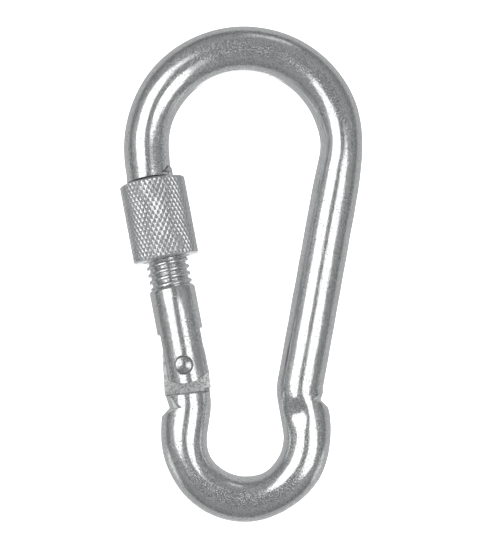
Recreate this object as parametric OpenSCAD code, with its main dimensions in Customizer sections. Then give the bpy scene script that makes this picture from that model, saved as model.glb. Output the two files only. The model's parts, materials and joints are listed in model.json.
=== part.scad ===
// Screw-lock snap hook of bent round bar, with a sprung gate and a knurled sleeve.
// Millimetres. X runs across the hook, from the gate to the spine. Y runs through its thickness.
// Z runs along its length. The origin is the centre of the wide upper bow.

/* [Overall] */
// Length from the top of the upper bow to the bottom of the foot
length = 70; // [68:0.5:74]
// Diameter of the round bar that the hook is bent from
bar_d = 6.54; // [6.3:0.02:6.6]

/* [Hook] */
// Radius of the upper bow at the middle of the bar
bow_r = 13.78; // [13.7:0.02:13.9]
// Lean of the straight spine, degrees
spine_tilt = 10.36; // [10.2:0.02:10.5]
// Lean of the straight nose above the gate, degrees
nose_tilt = 3.49; // [3.3:0.01:3.6]
// Radius of the foot's bow at the middle of the bar
foot_r = 8.56; // [8.4:0.02:8.7]
// Distance that the foot's centre lies towards the spine
foot_shift = 0.18; // [0:0.02:0.4]
// Lean of the short run between the foot and the spine's bend, degrees
heel_tilt = 10; // [8:0.5:12]
// Lean of the short run between the foot and the tongue's bend, degrees
toe_tilt = 8; // [6:0.5:9]
// Radius of the two pressed bends at the middle of the bar
bend_r = 6; // [5:0.5:8]
// Depth of the pressed nick outside the spine's bend
heel_nick = 0.45; // [0.3:0.05:0.6]
// Depth of the pressed nick outside the tongue's bend
toe_nick = 0.6; // [0.4:0.05:0.7]

/* [Tongue] */
// Thickness of the flattened tongue between the gate's ears
tongue_t = 3.0; // [2.8:0.05:3.0]
// Lean of the tongue, degrees
tongue_tilt = 6.05; // [5:0.05:7]
// Slope height of the nearly flat shoulders below the tongue
shoulder_h = 0.15; // [0.05:0.05:0.3]

/* [Gate] */
// Lean of the closed gate, degrees
gate_tilt = 10.77; // [10.6:0.01:10.9]
// Diameter of the gate's barrel
barrel_d = 6.47; // [6.4:0.01:6.5]
// Distance from the rivet up to the barrel's shoulder
barrel_top = 11.0; // [10.8:0.1:11.2]
// Distance of the gate's axis from the rivet, towards the spine
gate_offset = 0.33; // [0.25:0.01:0.4]
// Nominal diameter of the screw thread
thread_d = 6.0; // [5.9:0.05:6]
// Pitch of the screw thread
thread_pitch = 1.0; // [0.9:0.1:1]
// Depth of the clevis slot above the rivet
slot_top = 4.8; // [4.6:0.1:5.2]

/* [Sleeve] */
// Outer diameter of the knurled sleeve
sleeve_d = 9.3; // [9.1:0.05:9.3]
// Length of the sleeve
sleeve_l = 11.2; // [11:0.1:11.3]
// Distance from the rivet up to the sleeve's upper rim
sleeve_top = 26.4; // [26.2:0.1:26.4]
// Diameter of the wide upper part of the sleeve's bore
counterbore_d = 7.7; // [7.66:0.02:7.8]

/* [Rivet] */
// Diameter of the rivet's shank
rivet_d = 1.8; // [1.6:0.1:1.9]
// Diameter of the rivet's domed heads
rivet_head_d = 2.6; // [2.4:0.1:2.8]

/* [Spring and plunger] */
// Diameter of the blind bore along the gate
bore_d = 3.0; // [2.9:0.05:3]
// Diameter of the spring's wire
spring_wire = 0.36; // [0.3:0.02:0.4]
// Number of turns in the spring
spring_turns = 11; // [9:1:12]
// Lift of the plunger when the gate is fully open
plunger_lift = 0.8; // [0.7:0.05:0.85]

/* [Hidden] */
$fn = 72;

// Clearances
run_gap = 0.05;     // round running fits and the tongue between the ears
nose_gap = 0.1;     // between the gate's crown and the nose
big = 60;

// Step in diameter and overlap where a straight run enters a bend
bar_step = 0.04;
bar_overlap = 0.3;

// Sweep of the gate, degrees, which sets the cam on the tongue
gate_sweep = 34;

// Places in the hook's plane, as [x, z]
bar_r = bar_d / 2;
foot = [foot_shift, bow_r + foot_r + bar_d - length];
pivot = [-8.40, -31.04];

// Distances from the pivot that the nose and the gate's latch share
crown_r = 26.75;
nose_r = crown_r + nose_gap;
lip_r = 27.2;
head_low_r = 27.3;
head_top_r = 28.05;
pocket_r = 28.15;

// Latch across the thickness and along the gate's lateral direction
blade_t = 2.8;
blade_slot_t = 3.1;
blade_back = -1.0;
head_back = 0.1;
back_gap = 0.1;

function dir(a) = [cos(a), sin(a)];
function left(a) = [-sin(a), cos(a)];
function cross2(u, v) = u[0] * v[1] - u[1] * v[0];
// Where the line through p along u meets the line through q along v
function meet(p, u, q, v) = p + u * (cross2(q - p, v) / cross2(u, v));
// Centre of a left-hand bend that turns from heading a to heading b at corner k
function bend_centre(k, a, b) = k - bend_r * tan((b - a) / 2) * dir(a) + bend_r * left(a);
function bend_start(k, a, b) = k - bend_r * tan((b - a) / 2) * dir(a);
function bend_end(k, a, b) = k + bend_r * tan((b - a) / 2) * dir(b);

// Headings along the bar, from the nose over the bow, down the spine and up to the tongue
spine_up = 90 - spine_tilt;
spine_down = spine_up + 180;
heel_down = 270 + heel_tilt;
toe_up = 90 - toe_tilt;
tongue_up = 90 + tongue_tilt;

// Ends and corners of the straight runs
bow_start = bow_r * dir(-spine_tilt);
bow_end = bow_r * dir(180 + nose_tilt);
heel_start = foot + foot_r * dir(heel_tilt);
toe_start = foot + foot_r * dir(180 - toe_tilt);
heel_corner = meet(bow_start, dir(spine_up), heel_start, dir(heel_down));
toe_corner = meet(pivot, dir(tongue_up), toe_start, dir(toe_up));
spine_end = bend_start(heel_corner, spine_down, heel_down);
heel_end = bend_end(heel_corner, spine_down, heel_down);
toe_end = bend_start(toe_corner, toe_up, tongue_up);
tongue_start = bend_end(toe_corner, toe_up, tongue_up);
nose_low = bow_end + 5 * dir(270 + nose_tilt);

// A nick is a V groove turned about an axis that lies inside the bar's own axis,
// so that it is deepest outside the bend and fades out on the front and back
nick_axis_shift = 1.15;
heel_nick_shift = 0.19;
heel_nick_z = -35.6;
toe_nick_z = -36.67;

// Cam on the top of the tongue and rounded ends of the ears, as distances from the pivot
cam_r = 3.05;
cam_side_r = 3.45;
cam_start = 5.7;
tongue_in = 3.15;
tongue_out = 2.9;
ear_end_r = 4.8;
ear_end_low = 2.55;
ear_end_shift = 0.13;

// Distance from the pivot down to the top of the shoulders, clear of the ears at full opening
shoulder_low = 3.85;

// Distance from the middle plane to the flat under each rivet head, height of the head's dome,
// and gap round the head in its seat
rivet_seat = 2.95;
rivet_dome = 0.65;
rivet_seat_gap = 0.04;

// Height of the plunger's tip above the pivot, and of the spring's two ends
tip_z = cam_r + 0.1;
plunger_collar = 3.4;
plunger_neck = 2.2;
plunger_neck_d = 1.7;
bore_end = 22;
spring_low = tip_z + plunger_collar;
spring_r = bore_d / 2 - run_gap - spring_wire / 2 - 0.05;

// ---- placing ----

module in_hook_plane(p) {
  translate([p[0], 0, p[1]]) children();
}

// Local Z runs up the gate from the rivet, local X points towards the spine
module on_gate() {
  in_hook_plane(pivot) rotate([0, -gate_tilt, 0]) children();
}

// The same, on the gate's own axis
module on_gate_axis() {
  on_gate() translate([gate_offset, 0, 0]) children();
}

// Local Z runs up the tongue from the rivet
module on_tongue() {
  in_hook_plane(pivot) rotate([0, -tongue_tilt, 0]) children();
}

// A disc of radius r and width w about the rivet's axis
module about_pivot(r, w) {
  rotate([90, 0, 0]) cylinder(r = r, h = w, center = true, $fn = 360);
}

// ---- bar ----

// The straight runs are a hair thinner than the bends, and each end is set inside its bend
module straight_bar(p, q) {
  run = q - p;
  in_hook_plane(p)
    rotate([0, atan2(run[0], run[1]), 0])
      translate([0, 0, -bar_overlap])
        cylinder(d = bar_d - bar_step, h = norm(run) + 2 * bar_overlap);
}

module bent_bar(centre, r, from, to) {
  in_hook_plane(centre)
    rotate([90, 0, 0])
      rotate([0, 0, from])
        rotate_extrude(angle = to - from, $fn = 240)
          translate([r, 0]) circle(d = bar_d, $fn = 72);
}

module bend(corner, a, b) {
  bent_bar(bend_centre(corner, a, b), bend_r, a - 90, b - 90);
}

// V groove: side is +1 where the outside of the bend faces +X, and -1 where it faces -X
module nick(bar_x, z, depth, side, up_slope, down_slope) {
  root_r = bar_r - depth + nick_axis_shift;
  reach = 1.6;
  translate([bar_x - side * nick_axis_shift, 0, z])
    rotate_extrude()
      polygon([
        [root_r, 0],
        [root_r + reach, up_slope * reach],
        [root_r + reach, -down_slope * reach]
      ]);
}

// ---- nose, with the pocket that the gate's latch head swings into ----

module latch_pocket() {
  reach = 8;
  // narrow slot for the blade
  intersection() {
    about_pivot(pocket_r, blade_slot_t);
    translate([blade_back - back_gap, -big / 2, 20]) cube([reach, big, 12]);
  }
  // wide pocket for the head, with walls that lean together upwards
  intersection() {
    difference() {
      about_pivot(pocket_r, 6);
      about_pivot(lip_r, 7);
    }
    translate([head_back - back_gap, 0, 0]) latch_profile(reach, 0.12);
  }
}

// Cross-section of the latch head across the thickness, drawn out along the lateral direction
module latch_profile(reach, gap) {
  low = 27.0;
  high = 28.3;
  rotate([90, 0, 90])
    linear_extrude(reach)
      polygon([
        [-2.45 - gap, low],
        [2.45 + gap, low],
        [1.45 + gap, high],
        [-1.45 - gap, high]
      ]);
}

module nose() {
  difference() {
    straight_bar(bow_end, nose_low);
    on_gate() {
      about_pivot(nose_r, big);
      latch_pocket();
    }
  }
}

// ---- tongue ----

// Distance of the tongue's edge from the pivot, at angle a from the gate's line towards the spine
function cam(a) =
  a < -30 ? cam_side_r :
  a < -12 ? cam_side_r + (cam_r - cam_side_r) * (a + 30) / 18 :
  a < cam_start ? cam_r :
  cam_r + plunger_lift * min(1, (a - cam_start) / gate_sweep);

module tongue_outline() {
  intersection() {
    polygon(concat(
      [[-4.5, -4.1], [-4.5, cam_side_r * cos(80)]],
      [for (a = [-80:2:80]) cam(a) * [sin(a), cos(a)]],
      [[4.5, cam(80) * cos(80)], [4.5, -4.1]]
    ));
    translate([-tongue_out, -5]) square([tongue_out + tongue_in, 12]);
  }
}

module tongue_bar() {
  flat = tongue_t / 2;
  reach = 2;
  drop = shoulder_h * reach / (bar_r - flat);
  intersection() {
    straight_bar(tongue_start, pivot);
    // shoulders on the front and the back
    on_tongue()
      rotate([90, 0, 90])
        linear_extrude(big, center = true)
          polygon([
            [-flat, -shoulder_low],
            [flat, -shoulder_low],
            [flat + reach, -shoulder_low - drop],
            [flat + reach, -20],
            [-flat - reach, -20],
            [-flat - reach, -shoulder_low - drop]
          ]);
  }
}

module tongue() {
  tongue_bar();
  on_gate() rotate([90, 0, 0]) linear_extrude(tongue_t, center = true) tongue_outline();
}

// ---- pieces ----

module hook() {
  color("silver")
    difference() {
      union() {
        nose();
        bent_bar([0, 0], bow_r, -spine_tilt, 180 + nose_tilt);
        straight_bar(spine_end, bow_start);
        bend(heel_corner, spine_down, heel_down);
        straight_bar(heel_start, heel_end);
        bent_bar(foot, foot_r, 180 - toe_tilt, 360 + heel_tilt);
        straight_bar(toe_start, toe_end);
        bend(toe_corner, toe_up, tongue_up);
        tongue();
      }
      nick(heel_corner[0] + heel_nick_shift, heel_nick_z, heel_nick, 1, 2.75, 1.44);
      nick(toe_corner[0], toe_nick_z, toe_nick, -1, 1.83, 1.165);
      // hole for the rivet
      on_gate() about_pivot(rivet_d / 2 + run_gap, 10);
    }
}

// Barrel, chamfer, ring-grooved thread and neck, turned as one profile
module gate_turned() {
  major = thread_d / 2;
  minor = major - 0.61 * thread_pitch;
  first = barrel_top + 1;
  turns = 14;
  top = first + turns * thread_pitch;
  rotate_extrude()
    polygon(concat(
      [[0, -6], [barrel_d / 2, -6], [barrel_d / 2, barrel_top]],
      [[major - 0.1, barrel_top + 0.7], [minor, first]],
      [for (i = [0:turns - 1]) each [
        [minor, first + i * thread_pitch + 0.06],
        [major, first + (i + 0.44) * thread_pitch],
        [major, first + (i + 0.56) * thread_pitch],
        [minor, first + (i + 0.94) * thread_pitch]
      ]],
      [[minor, top], [major - 0.15, top + 0.1], [major - 0.15, top + 1.6], [0, top + 1.6]]
    ));
}

module latch_head() {
  intersection() {
    union() {
      intersection() {
        about_pivot(head_top_r, blade_t);
        translate([blade_back, -big / 2, 24]) cube([8, big, 8]);
      }
      intersection() {
        difference() {
          about_pivot(head_top_r, 6);
          about_pivot(head_low_r, 7);
        }
        translate([head_back, 0, 0]) latch_profile(8, 0);
      }
    }
    translate([gate_offset, 0, 20]) cylinder(r = 3.2, h = 12);
  }
}

module gate() {
  color("gainsboro")
    on_gate()
      difference() {
        union() {
          intersection() {
            translate([gate_offset, 0, 0]) gate_turned();
            about_pivot(crown_r, 20);
            // rounded lower end of the ears
            translate([gate_offset - ear_end_shift, 0, ear_end_r - ear_end_low])
              union() {
                about_pivot(ear_end_r, 20);
                translate([-10, -10, 0]) cube([20, 20, 40]);
              }
          }
          latch_head();
        }
        // slot between the ears
        translate([-10, -tongue_t / 2 - run_gap, -8]) cube([20, tongue_t + 2 * run_gap, 8 + slot_top]);
        // blind bore for the spring and the plunger
        translate([gate_offset, 0, 1]) cylinder(d = bore_d, h = bore_end - 1);
        // hole for the rivet, and flat seats for its heads
        about_pivot(rivet_d / 2, 12);
        for (side = [-1, 1])
          translate([0, side * (rivet_seat + 1.5), 0]) about_pivot(rivet_head_d / 2 + rivet_seat_gap, 3);
      }
}

module rivet() {
  dome_r = ((rivet_head_d / 2) * (rivet_head_d / 2) + rivet_dome * rivet_dome) / (2 * rivet_dome);
  color("whitesmoke")
    on_gate() {
      about_pivot(rivet_d / 2, 2 * rivet_seat);
      for (side = [0, 180])
        rotate([90, 0, side])
          translate([0, 0, rivet_seat])
            intersection() {
              cylinder(d = rivet_head_d, h = rivet_dome);
              translate([0, 0, rivet_dome - dome_r]) sphere(r = dome_r);
            }
    }
}

// Domed pin that presses on the tongue's cam
module plunger() {
  r = bore_d / 2 - run_gap;
  color("darkgray")
    on_gate_axis()
      translate([0, 0, tip_z])
        rotate_extrude()
          polygon(concat(
            [for (a = [0:10:90]) [r * sin(a), r * (1 - cos(a))]],
            [
              [r, plunger_collar],
              [plunger_neck_d / 2, plunger_collar],
              [plunger_neck_d / 2, plunger_collar + plunger_neck - 0.3],
              [plunger_neck_d / 2 - 0.3, plunger_collar + plunger_neck],
              [0, plunger_collar + plunger_neck]
            ]
          ));
}

// Helical spring between the plunger's collar and the end of the bore
module spring() {
  sides = 8;
  steps = 14;
  n = spring_turns * steps;
  half = spring_wire / 2;
  low = spring_low + half + 0.01;
  rise = bore_end - 0.02 - half - low;
  function spine_at(i) =
    let (turn = 360 * i / steps) [spring_r * cos(turn), spring_r * sin(turn), low + rise * i / n];
  function ring_point(i, j) =
    let (
      turn = 360 * i / steps,
      round_a = 360 * j / sides,
      out = [cos(turn), sin(turn), 0]
    ) spine_at(i) + half * (cos(round_a) * out + sin(round_a) * [0, 0, 1]);
  points = [for (i = [0:n], j = [0:sides - 1]) ring_point(i, j)];
  walls = [for (i = [0:n - 1], j = [0:sides - 1])
    let (a = i * sides + j, b = i * sides + (j + 1) % sides)
    [a, a + sides, b + sides, b]];
  start_cap = [for (j = [0:sides - 1]) j];
  end_cap = [for (j = [sides - 1:-1:0]) n * sides + j];
  color("lightsteelblue")
    on_gate_axis()
      polyhedron(points = points, faces = concat(walls, [start_cap, end_cap]), convexity = 10);
}

// Knurled sleeve: its lower bore runs on the thread, its wide upper bore covers the nose when locked
module sleeve() {
  edge = 0.35;
  r = sleeve_d / 2;
  thread_r = thread_d / 2 + run_gap;
  wide_r = counterbore_d / 2;
  grip = 4.6;
  low = sleeve_top - sleeve_l;
  color("lightgray")
    on_gate_axis()
      translate([0, 0, low])
        rotate_extrude()
          polygon([
            [thread_r + 0.3, 0],
            [r - edge, 0],
            [r, edge],
            [r, sleeve_l - edge],
            [r - edge, sleeve_l],
            [wide_r, sleeve_l],
            [wide_r, grip + 0.5],
            [thread_r, grip],
            [thread_r, 0.3]
          ]);
}

hook();
gate();
rivet();
spring();
plunger();
sleeve();
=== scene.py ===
"""Looks for a screw-lock snap hook of bent round bar, in bright zinc-plated steel.

Everything is in the CAD frame: X from the gate to the spine, Y through the thickness and
Z up the hook. Shapes are worked out in millimetres, and make_object() turns them to metres.
"""

import json
import math

import bmesh
import bpy
import numpy as np
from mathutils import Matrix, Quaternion, Vector


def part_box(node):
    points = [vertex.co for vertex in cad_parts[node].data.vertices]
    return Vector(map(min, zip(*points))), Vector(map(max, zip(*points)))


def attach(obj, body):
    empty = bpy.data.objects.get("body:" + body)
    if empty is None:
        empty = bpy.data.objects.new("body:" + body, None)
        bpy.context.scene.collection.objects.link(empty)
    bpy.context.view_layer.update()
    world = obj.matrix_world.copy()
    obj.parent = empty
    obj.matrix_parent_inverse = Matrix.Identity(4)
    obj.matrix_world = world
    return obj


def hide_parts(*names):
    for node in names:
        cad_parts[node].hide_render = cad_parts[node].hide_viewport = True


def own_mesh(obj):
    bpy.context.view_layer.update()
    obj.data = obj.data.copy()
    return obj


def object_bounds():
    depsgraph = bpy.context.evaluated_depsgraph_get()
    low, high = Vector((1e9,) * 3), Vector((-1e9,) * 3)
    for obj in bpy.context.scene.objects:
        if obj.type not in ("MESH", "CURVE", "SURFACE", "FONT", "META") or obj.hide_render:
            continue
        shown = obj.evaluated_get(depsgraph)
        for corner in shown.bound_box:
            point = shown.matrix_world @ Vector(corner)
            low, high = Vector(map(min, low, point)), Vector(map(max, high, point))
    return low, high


MM = 0.001

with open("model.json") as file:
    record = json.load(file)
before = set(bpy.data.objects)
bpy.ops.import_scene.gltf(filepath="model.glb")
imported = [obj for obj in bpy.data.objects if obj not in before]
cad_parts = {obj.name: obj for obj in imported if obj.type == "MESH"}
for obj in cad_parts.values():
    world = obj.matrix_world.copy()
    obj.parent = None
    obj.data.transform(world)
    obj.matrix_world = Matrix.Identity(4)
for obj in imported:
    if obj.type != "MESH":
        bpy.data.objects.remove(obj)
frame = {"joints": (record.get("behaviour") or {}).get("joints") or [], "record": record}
cad_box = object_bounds()
joints = {j["name"]: j for j in frame["joints"]}
mounts = {m["name"]: m for m in frame["record"]["mounts"]}

# ---- driving sizes, in millimetres and degrees ----

BOW_INNER = mounts["upper_bow"]["dims"]["r_mm"]
BAR_R = (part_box("hook")[1].z / MM - BOW_INNER) / 2
BOW_R = BOW_INNER + BAR_R
FOOT_R = mounts["foot_bow"]["dims"]["r_mm"] + BAR_R
FOOT = np.array([mounts["foot_bow"]["pos_m"][0], mounts["foot_bow"]["pos_m"][2]]) / MM
PIVOT = np.array([joints["gate_hinge"]["pos_m"][0], joints["gate_hinge"]["pos_m"][2]]) / MM
GATE_UP = np.array(joints["sleeve_travel"]["axis"])
GATE_SIDE = np.array([GATE_UP[2], 0, -GATE_UP[0]])
THICKNESS = np.array([0, 1, 0])

# each straight run's tilt from upright
SPINE_TILT = 10.36
NOSE_TILT = 3.49
HEEL_TILT = 10
TOE_TILT = 8
TONGUE_TILT = 6.05

# radius of the two pressed bends, along the middle of the bar
BEND_R = 6

# the nose is swept NOSE_RUN below the bow's end, where the crown cutter trims it to an arc;
# its thinning is measured from NOSE_LENGTH below the bow's end
NOSE_RUN = 5
NOSE_LENGTH = 3.7

# the shoulder's foot lies SHOULDER_LOW under the rivet, and the bar is pressed flat above it
SHOULDER_LOW = 4.1
PRESSED_RUN = 0.65
PRESSED_SLOPE = 0.3
TONGUE_HALF = 1.5

# the barrel's axis stands this far from the rivet, towards the spine
GATE_OFFSET = 0.33
BARREL_R = 3.235
BARREL_TOP = 11.0
SLOT_TOP = 4.8
SLOT_HALF = 1.55
THREAD_R = 3.0
THREAD_PITCH = 1.0
THREAD_LOW = 11.2
THREAD_DEPTH = 0.44
CROWN_R = 26.75
CROWN_GAP = 0.1
BORE_R = 1.5
BORE_TOP = 22
RIVET_SEAT = 2.95

SLEEVE_R = 4.65
SLEEVE_LOW = 15.2
SLEEVE_HIGH = 26.4

GATE_SWING = 34
PLUNGER_STROKE = 0.8

# how far a cutting tool reaches sideways, which is past the piece that it cuts
TOOL_REACH = 8

rng = np.random.default_rng(7)


# ---- small geometry helpers ----

def direction(degrees):
    return np.array([math.cos(math.radians(degrees)), math.sin(math.radians(degrees))])


def meet(p, u, q, v):
    """Where the line through p along u meets the line through q along v."""
    cross = lambda a, b: a[0] * b[1] - a[1] * b[0]
    return p + u * (cross(q - p, v) / cross(u, v))


def on_gate(points):
    """(side, thickness, up) from the rivet, in the closed gate's directions, to the frame."""
    points = np.asarray(points, float)
    moved = points @ np.array([GATE_SIDE, THICKNESS, GATE_UP])
    return moved + np.array([PIVOT[0], 0, PIVOT[1]])


def on_barrel(points):
    """The same, from the barrel's axis: for pieces turned about it."""
    return on_gate(np.asarray(points, float) + np.array([GATE_OFFSET, 0, 0]))


def through_gate(points):
    """For pieces turned about the rivet's axis: their height runs through the thickness."""
    return on_gate(points[:, [0, 2, 1]])


def smooth(t):
    """0 to 1 with a level start and end, held outside them."""
    t = np.clip(t, 0, 1)
    return t * t * (3 - 2 * t)


def waves(count, low, high):
    """A gentle random unevenness: f(s, phi) from low to high waves per millimetre along s."""
    rates = rng.uniform(low, high, count)
    turns = rng.integers(0, 4, count)
    phases = rng.uniform(0, 2 * math.pi, (count, 2))
    def f(s, phi):
        total = sum(
            np.sin(2 * math.pi * r * s + p[0]) * np.cos(t * phi + p[1])
            for r, t, p in zip(rates, turns, phases)
        )
        return total / math.sqrt(count)
    return f


def make_object(name, points, faces, material, uv=None):
    """A mesh object from points in millimetres, with its normals turned outwards."""
    mesh = bpy.data.meshes.new(name)
    mesh.from_pydata((np.asarray(points, float) * MM).tolist(), [], faces)
    if uv is not None:
        layer = mesh.uv_layers.new(name="Along")
        corner = np.zeros(len(mesh.loops), np.int32)
        mesh.loops.foreach_get("vertex_index", corner)
        layer.data.foreach_set("uv", np.asarray(uv, np.float32)[corner].ravel())
    bm = bmesh.new()
    bm.from_mesh(mesh)
    bmesh.ops.recalc_face_normals(bm, faces=bm.faces)
    bm.to_mesh(mesh)
    bm.free()
    obj = bpy.data.objects.new(name, mesh)
    bpy.context.scene.collection.objects.link(obj)
    mesh.materials.append(material)
    return obj


def ring_faces(rings, around, close_ends=True, wrap=False):
    """Quads between rings of points, with a flat cap at each end, or joined end to start."""
    faces = []
    for i in range(rings if wrap else rings - 1):
        for j in range(around):
            k = (j + 1) % around
            low, high = i * around, (i + 1) % rings * around
            faces.append((low + j, low + k, high + k, high + j))
    if close_ends and not wrap:
        faces.append(tuple(range(around)))
        faces.append(tuple(range((rings - 1) * around, rings * around)))
    return faces


def turned(name, profile, around, place, material, wrap=False):
    """A turned piece: profile is (radius, height) pairs, place() maps its points to the frame."""
    angles = np.linspace(0, 2 * math.pi, around, endpoint=False)
    points = [
        (r * math.cos(a), r * math.sin(a), h)
        for r, h in profile for a in angles
    ]
    return make_object(
        name, place(np.array(points)), ring_faces(len(profile), around, wrap=wrap), material
    )


def prism(name, outline, half, place, material, bevel=0):
    """An outline of (side, up) points, drawn out to +-half through the thickness."""
    n = len(outline)
    points = [(u, y, a) for y in (-half, half) for u, a in outline]
    obj = make_object(name, place(np.array(points)), ring_faces(2, n), material)
    if bevel:
        bm = bmesh.new()
        bm.from_mesh(obj.data)
        sharp = [
            e for e in bm.edges
            if len(e.link_faces) == 2 and e.calc_face_angle() > math.radians(40)
        ]
        bmesh.ops.bevel(
            bm, geom=sharp, offset=bevel * MM, segments=2, affect="EDGES", profile=0.6
        )
        bm.to_mesh(obj.data)
        bm.free()
    return obj


def apply_modifiers(obj):
    evaluated = obj.evaluated_get(bpy.context.evaluated_depsgraph_get())
    mesh = bpy.data.meshes.new_from_object(evaluated)
    obj.modifiers.clear()
    obj.data = mesh


def combine(obj, tool, operation):
    """Cuts, joins or crops obj with a tool object, which is used up."""
    modifier = obj.modifiers.new("combine", "BOOLEAN")
    modifier.object = tool
    modifier.operation = operation
    modifier.solver = "EXACT"
    modifier.material_mode = "TRANSFER"
    bpy.context.view_layer.update()
    apply_modifiers(obj)
    bpy.data.objects.remove(tool)
    return obj


def finish_surface(obj, angle=35):
    """Smooth shading that keeps every edge sharper than the angle."""
    obj.data.shade_smooth()
    obj.data.set_sharp_from_angle(angle=math.radians(angle))
    return obj


# ---- materials ----

def new_material(name, base, roughness):
    material = bpy.data.materials.new(name)
    material.use_nodes = True
    nodes = material.node_tree.nodes
    shader = nodes["Principled BSDF"]
    shader.inputs["Base Color"].default_value = (*base, 1)
    shader.inputs["Metallic"].default_value = 1
    shader.inputs["Roughness"].default_value = roughness
    return material, material.node_tree, shader


def noise(tree, vector, scale, detail=3, roughness=0.55):
    node = tree.nodes.new("ShaderNodeTexNoise")
    node.inputs["Scale"].default_value = scale
    node.inputs["Detail"].default_value = detail
    node.inputs["Roughness"].default_value = roughness
    tree.links.new(vector, node.inputs["Vector"])
    return node.outputs["Fac"]


def ramp(tree, value, low, high, out_low, out_high):
    """Takes a value from low..high to out_low..out_high, smoothly, and holds it outside."""
    node = tree.nodes.new("ShaderNodeMapRange")
    node.interpolation_type = "SMOOTHSTEP"
    for key, number in (
        ("From Min", low), ("From Max", high), ("To Min", out_low), ("To Max", out_high)
    ):
        node.inputs[key].default_value = number
    tree.links.new(value, node.inputs["Value"])
    return node.outputs["Result"]


def maths(tree, operation, a, b):
    node = tree.nodes.new("ShaderNodeMath")
    node.operation = operation
    for socket, value in zip(node.inputs, (a, b)):
        if isinstance(value, (int, float)):
            socket.default_value = value
        else:
            tree.links.new(value, socket)
    return node.outputs["Value"]


def tint(tree, value, dark, light):
    """A colour between two, by a value from 0 to 1."""
    node = tree.nodes.new("ShaderNodeMix")
    node.data_type = "RGBA"
    # a mix node has its sockets once for each data type: these are the colours' ones
    colour_a, colour_b, colour_out = node.inputs[6], node.inputs[7], node.outputs[2]
    colour_a.default_value = (*dark, 1)
    colour_b.default_value = (*light, 1)
    tree.links.new(value, node.inputs["Factor"])
    return colour_out


def bump(tree, height, distance, normal=None):
    node = tree.nodes.new("ShaderNodeBump")
    node.inputs["Distance"].default_value = distance
    tree.links.new(height, node.inputs["Height"])
    if normal is not None:
        tree.links.new(normal, node.inputs["Normal"])
    return node.outputs["Normal"]


# noise scales, in cells for each metre of the piece
SPECK_SCALE, GRAIN_SCALE, SPARSE_SCALE, COARSE_SCALE = 4300, 9000, 6500, 2600
CLOUD_SCALE, SCUFF_SCALE = 320, 900
PIT_EDGE = 0.06

# drawing lines, over the millimetres along and round the bar
STREAK_STRETCH = (0.12, 2.4, 1)
STREAK_SCALE = 1.6
STREAK_DEPTH = 0.012


def plated_steel(
    name, base, roughness, specks, streaks=False, coarse=0.0, pit=0.8, pitted=0.36
):
    """Bright zinc plate: fine specks, light scuffs and, along a drawn bar, faint streaks.

    roughness is (clean, dull). specks and coarse are heights of relief in millimetres. A pit
    keeps the share pit of the colour, and there is one where the specks' noise is under pitted.
    """
    material, tree, shader = new_material(name, base, roughness[0])
    place = tree.nodes.new("ShaderNodeTexCoord").outputs["Object"]
    speck = noise(tree, place, SPECK_SCALE, detail=3, roughness=0.7)
    grain = noise(tree, place, GRAIN_SCALE, detail=1)
    cloud = noise(tree, place, CLOUD_SCALE, detail=4)
    scratches = noise(tree, place, SCUFF_SCALE, detail=5, roughness=0.7)
    scuff = ramp(tree, scratches, 0.58, 0.7, 0, 1)
    dull = maths(
        tree, "ADD", maths(tree, "MULTIPLY", cloud, 0.6), maths(tree, "MULTIPLY", scuff, 0.5)
    )
    tree.links.new(
        ramp(tree, dull, 0.2, 0.9, roughness[0], roughness[1]), shader.inputs["Roughness"]
    )
    pits = ramp(tree, speck, pitted - PIT_EDGE, pitted + PIT_EDGE, 0, 1)
    shade = maths(tree, "MULTIPLY", pits, ramp(tree, cloud, 0.3, 0.7, 0.75, 1))
    tree.links.new(
        tint(tree, shade, [c * pit for c in base], base), shader.inputs["Base Color"]
    )
    normal = bump(tree, speck, specks * MM)
    normal = bump(tree, grain, specks * 0.5 * MM, normal)
    sparse = ramp(tree, noise(tree, place, SPARSE_SCALE, detail=2), 0.56, 0.72, 0, 1)
    normal = bump(tree, sparse, specks * 1.4 * MM, normal)
    if coarse:
        lumps = noise(tree, place, COARSE_SCALE, detail=4, roughness=0.7)
        normal = bump(tree, lumps, coarse * MM, normal)
    if streaks:
        along = tree.nodes.new("ShaderNodeUVMap")
        along.uv_map = "Along"
        stretch = tree.nodes.new("ShaderNodeMapping")
        stretch.inputs["Scale"].default_value = STREAK_STRETCH
        tree.links.new(along.outputs["UV"], stretch.inputs["Vector"])
        lines = noise(tree, stretch.outputs["Vector"], STREAK_SCALE, detail=3)
        normal = bump(tree, lines, STREAK_DEPTH * MM, normal)
    tree.links.new(normal, shader.inputs["Normal"])
    return material


BRIGHT = (0.80, 0.808, 0.815)
bar_steel = plated_steel(
    "bar_steel", BRIGHT, (0.09, 0.24), specks=0.009, streaks=True, pit=0.70, pitted=0.43
)
gate_steel = plated_steel(
    "gate_steel", BRIGHT, (0.10, 0.25), specks=0.009, pit=0.70, pitted=0.43
)
knurled_steel = plated_steel(
    "knurled_steel", (0.78, 0.788, 0.795), (0.28, 0.42), specks=0.005, pit=0.85, pitted=0.42
)
pressed_steel = plated_steel(
    "pressed_steel", (0.86, 0.865, 0.87), (0.34, 0.52),
    specks=0.020, coarse=0.05, pit=0.42, pitted=0.45,
)
# the rivet's plate has a darker base colour than the bar's: painted shade, standing in for the
# dark shadow in its seat and round its head
rivet_steel = plated_steel(
    "rivet_steel", (0.62, 0.625, 0.63), (0.16, 0.32), specks=0.012, pit=0.7, pitted=0.42
)
spring_steel = plated_steel("spring_steel", (0.5, 0.5, 0.5), (0.25, 0.4), specks=0.008)
plunger_steel = plated_steel("plunger_steel", (0.6, 0.6, 0.6), (0.25, 0.4), specks=0.008)


# ---- hook ----

def straight(start, end, step=0.8):
    """Stations (x, z, heading) along a straight run."""
    run = end - start
    count = max(2, math.ceil(np.linalg.norm(run) / step) + 1)
    heading = math.degrees(math.atan2(run[1], run[0]))
    return [(*(start + run * t), heading) for t in np.linspace(0, 1, count)]


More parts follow.
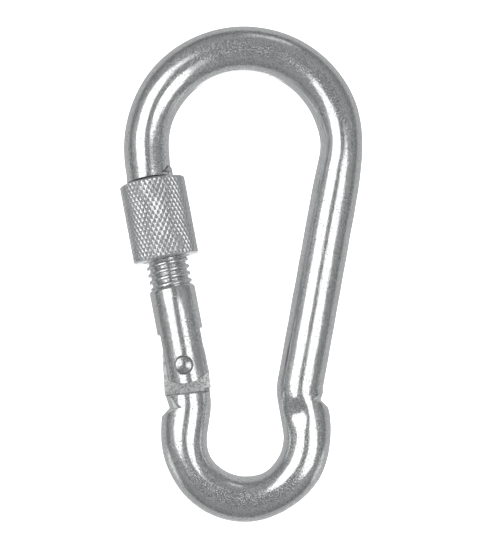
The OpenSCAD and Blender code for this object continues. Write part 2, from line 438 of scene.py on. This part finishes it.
def curved(centre, radius, start, end, step=2.0):
    """Stations round an arc, clockwise when end is below start."""
    quarter = -90 if end < start else 90
    count = max(2, math.ceil(abs(end - start) / step) + 1)
    return [
        (*(centre + radius * direction(a)), a + quarter)
        for a in np.linspace(start, end, count)
    ]


def bend_between(corner, heading_in, heading_out):
    """Stations round a left-hand bend at a corner between two straight runs."""
    half = math.radians(heading_out - heading_in) / 2
    begin = corner - BEND_R * math.tan(half) * direction(heading_in)
    centre = begin + BEND_R * direction(heading_in + 90)
    return curved(centre, BEND_R, heading_in - 90, heading_out - 90)


bow_start = BOW_R * direction(-SPINE_TILT)
bow_end = BOW_R * direction(180 + NOSE_TILT)
heel_start = FOOT + FOOT_R * direction(HEEL_TILT)
toe_start = FOOT + FOOT_R * direction(180 - TOE_TILT)
spine_down, heel_down = -90 - SPINE_TILT, -90 + HEEL_TILT
toe_up, tongue_up = 90 - TOE_TILT, 90 + TONGUE_TILT
heel_corner = meet(bow_start, direction(spine_down), heel_start, direction(heel_down))
toe_corner = meet(PIVOT, direction(tongue_up), toe_start, direction(toe_up))
nose_low = bow_end + NOSE_RUN * direction(270 + NOSE_TILT)
shoulder_foot = PIVOT - SHOULDER_LOW * direction(tongue_up)
pressed_end = shoulder_foot + PRESSED_RUN * direction(tongue_up)


def hook_path():
    """Stations along the middle of the bar, from the nose round to the tongue."""
    heel = bend_between(heel_corner, spine_down, heel_down)
    toe = bend_between(toe_corner, toe_up, tongue_up)
    point = lambda station: np.array(station[:2])
    runs = [
        straight(nose_low, bow_end),
        curved(np.zeros(2), BOW_R, 180 + NOSE_TILT, -SPINE_TILT),
        straight(bow_start, point(heel[0])),
        heel,
        straight(point(heel[-1]), heel_start),
        curved(FOOT, FOOT_R, HEEL_TILT, -180 - TOE_TILT, step=3.0),
        straight(toe_start, point(toe[0])),
        toe,
        straight(point(toe[-1]), shoulder_foot),
        straight(shoulder_foot, pressed_end, step=0.1),
    ]
    return np.array([s for i, run in enumerate(runs) for s in (run if i == 0 else run[1:])])


def swell(x, z, at, width):
    """1 at a place in the hook's plane, and next to nothing two widths away."""
    return np.exp(-((x - at[0]) ** 2 + (z - at[1]) ** 2) / (width * width))


def hook_sweep(around=80):
    """The bar along its path, with the uneven section that bending and pressing leave.

    outer is 1 on the hook's outside, 0 on its faces and -1 on its inside. flat is how much
    the section's radius is cut, in millimetres.
    """
    path = hook_path()
    x, z, heading = path[:, 0], path[:, 1], np.radians(path[:, 2])
    s = np.concatenate([[0], np.cumsum(np.hypot(np.diff(x), np.diff(z)))])
    phi = np.linspace(0, 2 * math.pi, around, endpoint=False)
    side = np.stack([-np.sin(heading), np.zeros_like(x), np.cos(heading)], 1)
    s2, phi2 = np.meshgrid(s, phi, indexing="ij")
    outer = np.cos(phi2)
    flat = np.zeros_like(s2)

    # the bows are a little flat: place, width, and the cut on the outside and the inside
    for place, width, cut_outside, cut_inside in (
        (BOW_R * direction(0), 4.0, 0.30, 0.22),
        (BOW_R * direction(165), 4.5, 0.10, 0.10),
        (FOOT + FOOT_R * direction(-150), 3.6, 0.20, 0.18),
        (FOOT + FOOT_R * direction(-60), 2.6, 0.16, 0.14),
    ):
        near = swell(x, z, place, width)[:, None]
        flat += near * np.where(outer > 0, cut_outside, cut_inside) * outer ** 2

    # the outside stands proud below each pressed nick: place, width and height
    for place, width, height in (
        (heel_corner + 3.9 * direction(heel_down), 2.3, 0.42),
        (toe_corner - 2.1 * direction(toe_up), 1.7, 0.20),
    ):
        near = swell(x, z, place, width)[:, None]
        flat -= height * near * np.clip(outer, 0, 1) ** 3

    # the press leaves a pinch below the heel's bend, just to the inside of each face
    pinch_width, pinch_depth, pinch_at, pinch_spread = 1.5, 0.38, -0.3, 0.42
    pinch = swell(x, z, heel_corner + 3.3 * direction(heel_down), pinch_width)[:, None]
    flat += pinch_depth * pinch * np.exp(-((outer - pinch_at) / pinch_spread) ** 2)

    # the nose thins towards its end
    thin_run, thin_depth = 2.6, 0.22
    from_end = s - (NOSE_RUN - NOSE_LENGTH)
    thin = smooth((thin_run - from_end) / thin_run)[:, None]
    flat += thin_depth * thin * np.clip(outer, 0, 1) ** 2

    # set in a hair from the CAD's bar, because the waves rise above the mean
    inset, wave_height = 0.014, 0.012
    uneven = waves(9, 0.05, 0.22)(s2, phi2) * wave_height
    r = BAR_R - flat - inset + uneven

    # beyond the shoulder's foot the bar is pressed to a hair under the tongue's thickness
    pressed = s - (s[-1] - PRESSED_RUN)
    squeeze = 1 - (1 - (TONGUE_HALF - 0.01) / BAR_R) * smooth(pressed / PRESSED_SLOPE)
    rings = (
        np.stack([x, np.zeros_like(x), z], 1)[:, None, :]
        + (r * outer)[..., None] * side[:, None, :]
        + (r * np.sin(phi2) * squeeze[:, None])[..., None] * -THICKNESS
    )
    uv = np.stack([s2, phi2 * BAR_R], -1).reshape(-1, 2)
    hook = make_object(
        "hook_bar", rings.reshape(-1, 3), ring_faces(len(s), around), bar_steel, uv
    )
    hook.data.materials.append(pressed_steel)
    first = int(np.argmax(pressed > -0.001)) * around
    for face in hook.data.polygons:
        if min(face.vertices) >= first:
            face.material_index = 1
    return hook


def nick(bar_x, z, depth, side, shift, up_slope, down_slope, reach=1.6):
    """V groove across the bar's outside, turned about an upright axis.

    side is 1 at the spine and -1 at the gate, and the axis lies shift inside the bar's own.
    """
    root = BAR_R - depth + shift
    place = lambda p: p + np.array([bar_x - side * shift, 0, z])
    profile = [(root, 0), (root + reach, up_slope * reach), (root + reach, -down_slope * reach)]
    return turned("nick", profile, 96, place, bar_steel, wrap=True)


def crown_cutter(radius, reach=6, low=20):
    """Everything from a low height up to an arc about the rivet, near the nose."""
    spread = math.degrees(math.asin(reach / radius))
    angles = np.radians(np.linspace(90 + spread, 90 - spread, 24))
    arc = [(radius * math.cos(a), radius * math.sin(a)) for a in angles]
    outline = [(-reach, low), *arc, (reach, low)]
    return prism("crown", outline, TOOL_REACH, on_gate, pressed_steel)


LATCH_LOW_R, LATCH_TOP_R, LIP_R, POCKET_R = 27.3, 28.05, 27.2, 28.15
LATCH_WIDE, LATCH_NARROW = 2.45, 1.45


def arc_height(radius, u):
    return math.sqrt(radius * radius - u * u)


def latch_solid(name, low_r, top_r, start, end, gap, blade, blade_start, blade_low):
    """The T-shaped head and its blade, or the pocket for them: sections across the thickness."""
    hair = 0.01
    stations = [(u, blade + hair, blade) for u in np.linspace(blade_start, start - hair, 4)]
    stations += [
        (u, LATCH_WIDE + gap, LATCH_NARROW + gap) for u in np.linspace(start, end, 10)
    ]
    sections = []
    for u, wide, narrow in stations:
        low, top = arc_height(low_r, u), arc_height(top_r, u)
        right = [(u, blade, blade_low), (u, blade, low), (u, wide, low + hair), (u, narrow, top)]
        sections.append(right + [(u, -y, a) for _, y, a in reversed(right)])
    points = np.array(sections).reshape(-1, 3)
    return make_object(name, on_gate(points), ring_faces(len(sections), 8), pressed_steel)


# the cam rises by the plunger's stroke over the gate's swing, in degrees from CAM_START;
# behind it the edge falls from BACK_R, between two angles
CAM_R, CAM_START = 3.05, 5.7
BACK_R, BACK_FALL, BACK_START, BACK_END = 3.45, 0.4, -30, -12


def cam_radius(a):
    """Distance of the tongue's edge from the rivet, at an angle from the gate's line."""
    if a < BACK_END:
        return BACK_R - BACK_FALL * min(1, max(0, (a - BACK_START) / (BACK_END - BACK_START)))
    return CAM_R + PLUNGER_STROKE * min(1, max(0, (a - CAM_START) / GATE_SWING))


def tongue_plate():
    """Flat tongue between the ears, with the cam that lifts the plunger."""
    low, right = -3.7, 3.28
    left = lambda a: -2.96 + 0.125 * min(a, 2.2)
    points = [(left(low), low)]
    for angle in range(-80, 81, 4):
        r = cam_radius(angle)
        a = r * math.cos(math.radians(angle))
        u = r * math.sin(math.radians(angle))
        points.append((min(right, max(left(a), u)), a))
    points += [(3.3, -1.2), (3.12, low)]
    return prism("tongue", points, TONGUE_HALF, on_gate, pressed_steel, bevel=0.14)


def build_hook():
    hook = hook_sweep()
    heel_nick = nick(
        heel_corner[0] + 0.19, z=-35.78, depth=0.42, side=1,
        shift=1.15, up_slope=2.75, down_slope=1.05,
    )
    combine(hook, heel_nick, "DIFFERENCE")
    toe_nick = nick(
        toe_corner[0], z=-36.95, depth=0.64, side=-1,
        shift=1.1, up_slope=3.0, down_slope=1.1,
    )
    combine(hook, toe_nick, "DIFFERENCE")
    combine(hook, crown_cutter(CROWN_R + CROWN_GAP), "DIFFERENCE")
    pocket = latch_solid(
        "pocket", LIP_R, POCKET_R, start=0.0, end=6.0, gap=0.12,
        blade=SLOT_HALF, blade_start=-1.1, blade_low=25,
    )
    combine(hook, pocket, "DIFFERENCE")
    combine(hook, tongue_plate(), "UNION")
    return finish_surface(hook)


# ---- gate ----

def thread_depth(phase, crest=0.12, flank=0.86):
    """0 at the root and 1 on the crest of a rolled thread, by turns."""
    t = np.abs((phase % 1) - 0.5) * 2
    return 1 - smooth((t - crest) / flank) ** 1.5


def gate_rings(around=96):
    """Barrel, chamfer and screw thread as one turned surface."""
    # (height from the barrel's top, cut below its radius)
    chamfer = [(-0.3, 0), (-0.14, 0.03), (-0.04, 0.1), (0.04, 0.2), (0.22, 0.42)]
    edge_heights = [BARREL_TOP + h for h, _ in chamfer]
    edge_radii = [BARREL_R - cut for _, cut in chamfer]
    barrel = [-4.0, 0, 4, 8] + edge_heights
    thread = np.linspace(barrel[-1] + 0.06, CROWN_R - 0.05, 210)
    heights = np.concatenate([barrel, thread])
    radii = np.interp(heights, edge_heights, edge_radii)
    angles = np.linspace(0, 2 * math.pi, around, endpoint=False)
    h2, a2 = np.meshgrid(heights, angles, indexing="ij")
    phase = (h2 - THREAD_LOW) / THREAD_PITCH - a2 / (2 * math.pi)
    run_out = smooth((CROWN_R - 0.1 - h2) / 0.5)
    crest = THREAD_R - THREAD_DEPTH * (1 - thread_depth(phase) * run_out)
    r2 = np.where(h2 > barrel[-1], crest, radii[:, None])
    u = GATE_OFFSET + r2 * np.cos(a2)
    v = r2 * np.sin(a2)
    # the upper end follows the crown, an arc about the rivet
    crown = np.sqrt(CROWN_R ** 2 - u ** 2)
    h2 = np.where(h2 > CROWN_R - 0.4, np.minimum(h2, crown), h2)
    points = np.stack([u, v, h2], -1).reshape(-1, 3)
    uv = np.stack([h2, a2 * BARREL_R], -1).reshape(-1, 2)
    faces = ring_faces(len(heights), around)
    return make_object("gate_body", on_gate(points), faces, gate_steel, uv)


def ear_crop():
    """Keeps the gate above the rounded ends of its ears."""
    centre_u, centre_a, r = 0.2, 2.25, 4.8
    wide, high = 10, 40
    angles = np.radians(np.arange(184, 357, 4))
    arc = [(centre_u + r * math.cos(a), centre_a + r * math.sin(a)) for a in angles]
    outline = [(-wide, centre_a), *arc, (wide, centre_a), (wide, high), (-wide, high)]
    return prism("ears", outline, TOOL_REACH, on_gate, gate_steel)


def build_gate():
    gate = gate_rings()
    combine(gate, ear_crop(), "INTERSECT")
    outline = [
        (-TOOL_REACH, -TOOL_REACH), (TOOL_REACH, -TOOL_REACH),
        (TOOL_REACH, SLOT_TOP), (-TOOL_REACH, SLOT_TOP),
    ]
    slot = prism("slot", outline, SLOT_HALF, on_gate, pressed_steel)
    combine(gate, slot, "DIFFERENCE")
    bore = turned("bore", [(BORE_R, 1), (BORE_R, BORE_TOP)], 48, on_barrel, pressed_steel)
    combine(gate, bore, "DIFFERENCE")
    # each ear has a shallow round seat for the rivet's head
    for side in (-1, 1):
        profile = [(1.38, side * (RIVET_SEAT - 0.02)), (1.42, side * 4.5)]
        seat = turned("seat", profile, 48, through_gate, pressed_steel)
        combine(gate, seat, "DIFFERENCE")
    return finish_surface(gate)


def build_latch():
    latch = latch_solid(
        "gate_latch", LATCH_LOW_R, LATCH_TOP_R, start=0.1, end=3.45, gap=0,
        blade=1.4, blade_start=-1.0, blade_low=26,
    )
    profile = [(3.2, 24), (3.2, 27.6), (2.9, 28.3)]
    crop = turned("round", profile, 72, on_barrel, pressed_steel)
    combine(latch, crop, "INTERSECT")
    return finish_surface(latch)


def build_rivet():
    """Shank through the ears, with a head on each side: a round edge and a shallow dome."""
    shank_r, head_r, dome_r, ball_r, height = 0.9, 1.3, 0.95, 2.5, 0.62
    dome = []
    for t in (1, 0.75, 0.5, 0.25, 0.04):
        r = dome_r * t
        dome.append((r, height - ball_r + math.sqrt(ball_r ** 2 - r ** 2)))
    edge_height = dome[0][1]
    edge = [
        (head_r - (head_r - dome_r) * (1 - math.cos(t)), edge_height * math.sin(t))
        for t in np.linspace(0.1, 1.45, 7)
    ]
    rise = [(r, RIVET_SEAT + h) for r, h in edge + dome]
    half = [(shank_r, 0), (shank_r, RIVET_SEAT), (head_r, RIVET_SEAT), *rise]
    profile = [(r, -h) for r, h in reversed(half[1:])] + half[1:]
    return finish_surface(turned("rivet_pin", profile, 48, through_gate, rivet_steel))


def build_plunger():
    """Domed pin with a thinner stem, which the spring sits round."""
    r, tip = 1.45, 3.15
    stem_r, stem_end_r = 0.85, 0.55
    dome = [
        (r * math.sin(t), tip + r * (1 - math.cos(t)))
        for t in np.linspace(0.05, math.pi / 2, 12)
    ]
    profile = dome + [
        (r, tip + 3.3), (r - 0.1, tip + 3.4), (stem_r, tip + 3.4),
        (stem_r, tip + 5.3), (stem_end_r, tip + 5.6),
    ]
    return finish_surface(turned("plunger_pin", profile, 48, on_barrel, plunger_steel))


SPRING_LOW, SPRING_TURNS, SPRING_R, WIRE_R = 6.55, 11, 1.17, 0.18
CLOSED_RISE = 0.4


def build_spring(sides=12, steps=28):
    """Open coils between closed end coils."""
    n = SPRING_TURNS * steps
    turn = np.linspace(0, SPRING_TURNS, n + 1)
    knots = [0, 1, SPRING_TURNS - 1, SPRING_TURNS]
    low, high = SPRING_LOW + WIRE_R, BORE_TOP - WIRE_R - 0.02
    rise = np.interp(turn, knots, [low, low + CLOSED_RISE, high - CLOSED_RISE, high])
    angle = 2 * math.pi * turn
    section = np.linspace(0, 2 * math.pi, sides, endpoint=False)
    out = SPRING_R + WIRE_R * np.cos(section)
    points = np.stack([
        np.outer(np.cos(angle), out),
        np.outer(np.sin(angle), out),
        rise[:, None] + WIRE_R * np.sin(section)[None, :],
    ], -1).reshape(-1, 3)
    faces = ring_faces(n + 1, sides)
    return finish_surface(make_object("spring_coil", on_barrel(points), faces, spring_steel), 60)


# ---- knurled sleeve ----

KNURL_STARTS = 42
KNURL_LEAD = 1.2
KNURL_DEPTH = 0.115
KNURL_CELLS = 6
KNURL_NARROW = 1.35
KNURL_TOP = 0.74


def build_sleeve():
    """Diamond knurl: two sets of V grooves, about 30 degrees either way from the axis.

    The first set's grooves are the narrower ones, and the diamonds between them are flat on top.
    """
    around = KNURL_STARTS * KNURL_CELLS
    length = SLEEVE_HIGH - SLEEVE_LOW
    rows = round(length / (KNURL_LEAD / KNURL_CELLS))
    i, j = np.meshgrid(np.arange(around), np.arange(rows + 1))
    z = j * length / rows
    groove = lambda k: np.abs((k / KNURL_CELLS) % 1 - 0.5) * 2
    first, second = 1 - groove(i + j), 1 - groove(i - j)
    angle = 2 * math.pi * i / around
    uneven = waves(8, 0.08, 0.3)
    deep = KNURL_DEPTH * (1 + 0.25 * uneven(z, angle))
    height = np.minimum(np.minimum(first * KNURL_NARROW, second), KNURL_TOP) / KNURL_TOP
    # both rims are rounded, and the knurl is shallow beside them
    edge, inset = 0.32, 0.01
    end = np.minimum(z, length - z)
    rounding = edge * (1 - np.sqrt(np.clip(1 - np.clip(1 - end / edge, 0, 1) ** 2, 0, 1)))
    deep = deep * (0.35 + 0.65 * smooth(end / 0.5))
    r = SLEEVE_R - inset - rounding - deep * (1 - height)

    # turned inside: a wide upper bore and a narrow lower bore, from the upper rim down
    upper_r, lower_r, rim_r = 3.85, 3.05, 4.1
    inner = [
        (rim_r, length - 0.03), (upper_r + 0.1, length - 0.08), (upper_r, length - 0.2),
        (upper_r, 5.1), (lower_r, 4.6), (lower_r, 0.35), (lower_r + 0.3, 0.03), (rim_r, 0.02),
    ]
    column = np.arange(around) * 2 * math.pi / around
    rings = [
        np.stack([r[k] * np.cos(column), r[k] * np.sin(column), z[k]], 1)
        for k in range(rows + 1)
    ]
    rings += [
        np.stack([q * np.cos(column), q * np.sin(column), np.full(around, h)], 1)
        for q, h in inner
    ]
    total = len(rings)
    faces = []
    for a in range(total):
        b = (a + 1) % total
        for c in range(around):
            d = (c + 1) % around
            quad = (a * around + c, a * around + d, b * around + d, b * around + c)
            if a >= rows:
                faces.append(quad)
            elif groove(c + a + 1) > groove(c - a):  # split along the nearer groove
                faces += [(quad[0], quad[1], quad[3]), (quad[1], quad[2], quad[3])]
            else:
                faces += [(quad[0], quad[1], quad[2]), (quad[0], quad[2], quad[3])]
    points = np.concatenate(rings) + np.array([0, 0, SLEEVE_LOW])
    sleeve = make_object("sleeve_knurled", on_barrel(points), faces, knurled_steel)
    return finish_surface(sleeve, 14)


# ---- pieces and bodies ----

def install(piece, body, nodes):
    """The piece moves with a body and stands for CAD nodes, which it hides."""
    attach(piece, body)
    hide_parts(*nodes)
    return piece


install(build_hook(), "hook", ["hook"])
install(build_gate(), "gate", ["gate"])
install(build_latch(), "gate", ["gate"])
install(build_rivet(), "gate", ["rivet"])
spring = install(build_spring(), "gate", ["spring"])
install(build_plunger(), "plunger", ["plunger"])
install(build_sleeve(), "sleeve", ["sleeve"])

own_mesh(spring)


# ---- stage, light and camera ----

centre = (cad_box[0] + cad_box[1]) / 2


def stage_sweep(floor_z=-0.22, radius=1.4, bend=0.35, height=1.1, around=96):
    """A pale round floor that curves up into a wall all round. Its sizes are in metres."""
    profile = [(0.002, 0), (radius - bend, 0)]
    for t in np.linspace(0, math.pi / 2, 14):
        profile.append((radius - bend + bend * math.sin(t), bend * (1 - math.cos(t))))
    profile.append((radius, height))
    angles = np.linspace(0, 2 * math.pi, around, endpoint=False)
    points = [
        (r * math.cos(a) / MM, r * math.sin(a) / MM, (floor_z + h) / MM)
        for r, h in profile for a in angles
    ]
    faces = ring_faces(len(profile), around, close_ends=False)
    faces.append(tuple(range(around)))
    material = bpy.data.materials.new("pale_stage")
    material.use_nodes = True
    shader = material.node_tree.nodes["Principled BSDF"]
    shader.inputs["Base Color"].default_value = (0.8, 0.8, 0.8, 1)
    shader.inputs["Roughness"].default_value = 1
    shader.inputs["Specular IOR Level"].default_value = 0
    shader.inputs["Emission Color"].default_value = (1, 1, 1, 1)
    shader.inputs["Emission Strength"].default_value = 0.97
    sweep = make_object("stage_floor", points, faces, material)
    sweep.data.shade_smooth()
    sweep.visible_glossy = False
    return sweep


def softbox(name, azimuth, elevation, distance, width, height, radiance, roll=0, aim_z=-0.018):
    """An oval soft panel that faces the hook's middle.

    Azimuth is positive to the camera's right, and 0 is on its side of the hook. The width and
    the height are the angles that the panel fills, in degrees. The distance is in metres.
    """
    a, e = math.radians(azimuth), math.radians(elevation)
    light = bpy.data.lights.new(name, "AREA")
    light.shape = "ELLIPSE"
    light.size = 2 * distance * math.tan(math.radians(width / 2))
    light.size_y = 2 * distance * math.tan(math.radians(height / 2))
    light.energy = radiance * math.pi * math.pi / 4 * light.size * light.size_y
    lamp = bpy.data.objects.new(name, light)
    bpy.context.scene.collection.objects.link(lamp)
    away = Vector((math.sin(a) * math.cos(e), -math.cos(a) * math.cos(e), math.sin(e)))
    lamp.location = Vector((centre.x, 0, aim_z)) + distance * away
    lamp.rotation_mode = "QUATERNION"
    spin = Quaternion(away, math.radians(roll))
    lamp.rotation_quaternion = spin @ (-away).to_track_quat("-Z", "Y")
    lamp.visible_camera = False
    return lamp


def overhead():
    """Lights the floor, and isn't seen in the steel."""
    lamp = softbox("overhead", 0, 90, 0.6, 45, 45, 3)
    lamp.visible_glossy = False


def studio_world():
    """The grey room round the panels: darkest beside the hook, and palest behind it."""
    world = bpy.data.worlds.new("studio")
    world.use_nodes = True
    tree = world.node_tree
    coordinates = tree.nodes.new("ShaderNodeTexCoord")
    split = tree.nodes.new("ShaderNodeSeparateXYZ")
    tree.links.new(coordinates.outputs["Generated"], split.inputs["Vector"])
    depth = tree.nodes.new("ShaderNodeMapRange")
    # takes Y from -1..1 to 0..1
    depth.inputs["From Min"].default_value = -1
    tree.links.new(split.outputs["Y"], depth.inputs["Value"])
    levels = tree.nodes.new("ShaderNodeValToRGB")
    # (Y of the direction, brightness): the camera is at -1
    stops = (
        (-1.0, 0.25), (-0.6, 0.34), (-0.25, 0.27), (-0.02, 0.205),
        (0.09, 0.25), (0.2, 0.50), (1.0, 0.56),
    )
    grey = (0.985, 0.995, 1)
    ramp_stops = levels.color_ramp.elements
    while len(ramp_stops) < len(stops):
        ramp_stops.new(0.5)
    for stop, (y, value) in zip(ramp_stops, stops):
        stop.position = (y + 1) / 2
        stop.color = (*(c * value for c in grey), 1)
    tree.links.new(depth.outputs["Result"], levels.inputs["Fac"])
    tree.links.new(levels.outputs["Color"], tree.nodes["Background"].inputs["Color"])
    bpy.context.scene.world = world


def studio_camera(distance=0.300, elevation=-4.5, picture_height=0.07715):
    """A camera in front of the hook and a little below it. picture_height is the longer side
    of what it sees at the hook, in metres."""
    aim_shift = Vector((-0.00034, 0, -0.00028))
    camera = bpy.data.objects.new("camera", bpy.data.cameras.new("camera"))
    bpy.context.scene.collection.objects.link(camera)
    e = math.radians(elevation)
    back = Vector((0, -math.cos(e), math.sin(e)))
    aim = centre + aim_shift
    camera.location = aim + distance * back
    camera.rotation_mode = "QUATERNION"
    camera.rotation_quaternion = (-back).to_track_quat("-Z", "Y")
    camera.data.lens = camera.data.sensor_width * distance / picture_height
    camera.data.clip_start, camera.data.clip_end = 0.01, 20
    bpy.context.scene.camera = camera


stage_sweep()
# name, azimuth, elevation, distance, width, height, radiance, roll
for panel in (
    ("left_panel", -30.5, 11.5, 0.800, 42, 44, 1.65, 0),
    ("left_falloff", -55, 11.5, 0.820, 36, 46, 0.12, 0),
    ("right_panel", 32, -7.5, 0.240, 46, 30, 1.65, -45),
    ("ceiling_glow", 31, 66, 0.500, 22, 15, 0.5, 0),
    # low fills behind and beside the hook, for the other sides
    ("rear_low", 176, -24, 0.500, 44, 26, 1.2, 0),
    ("side_low_left", -97, -24, 0.500, 26, 24, 0.5, 0),
    ("side_low_right", 97, -24, 0.500, 24, 24, 0.45, 0),
):
    softbox(*panel)
overhead()
studio_world()
studio_camera()
bpy.context.scene.view_settings.view_transform = "Standard"
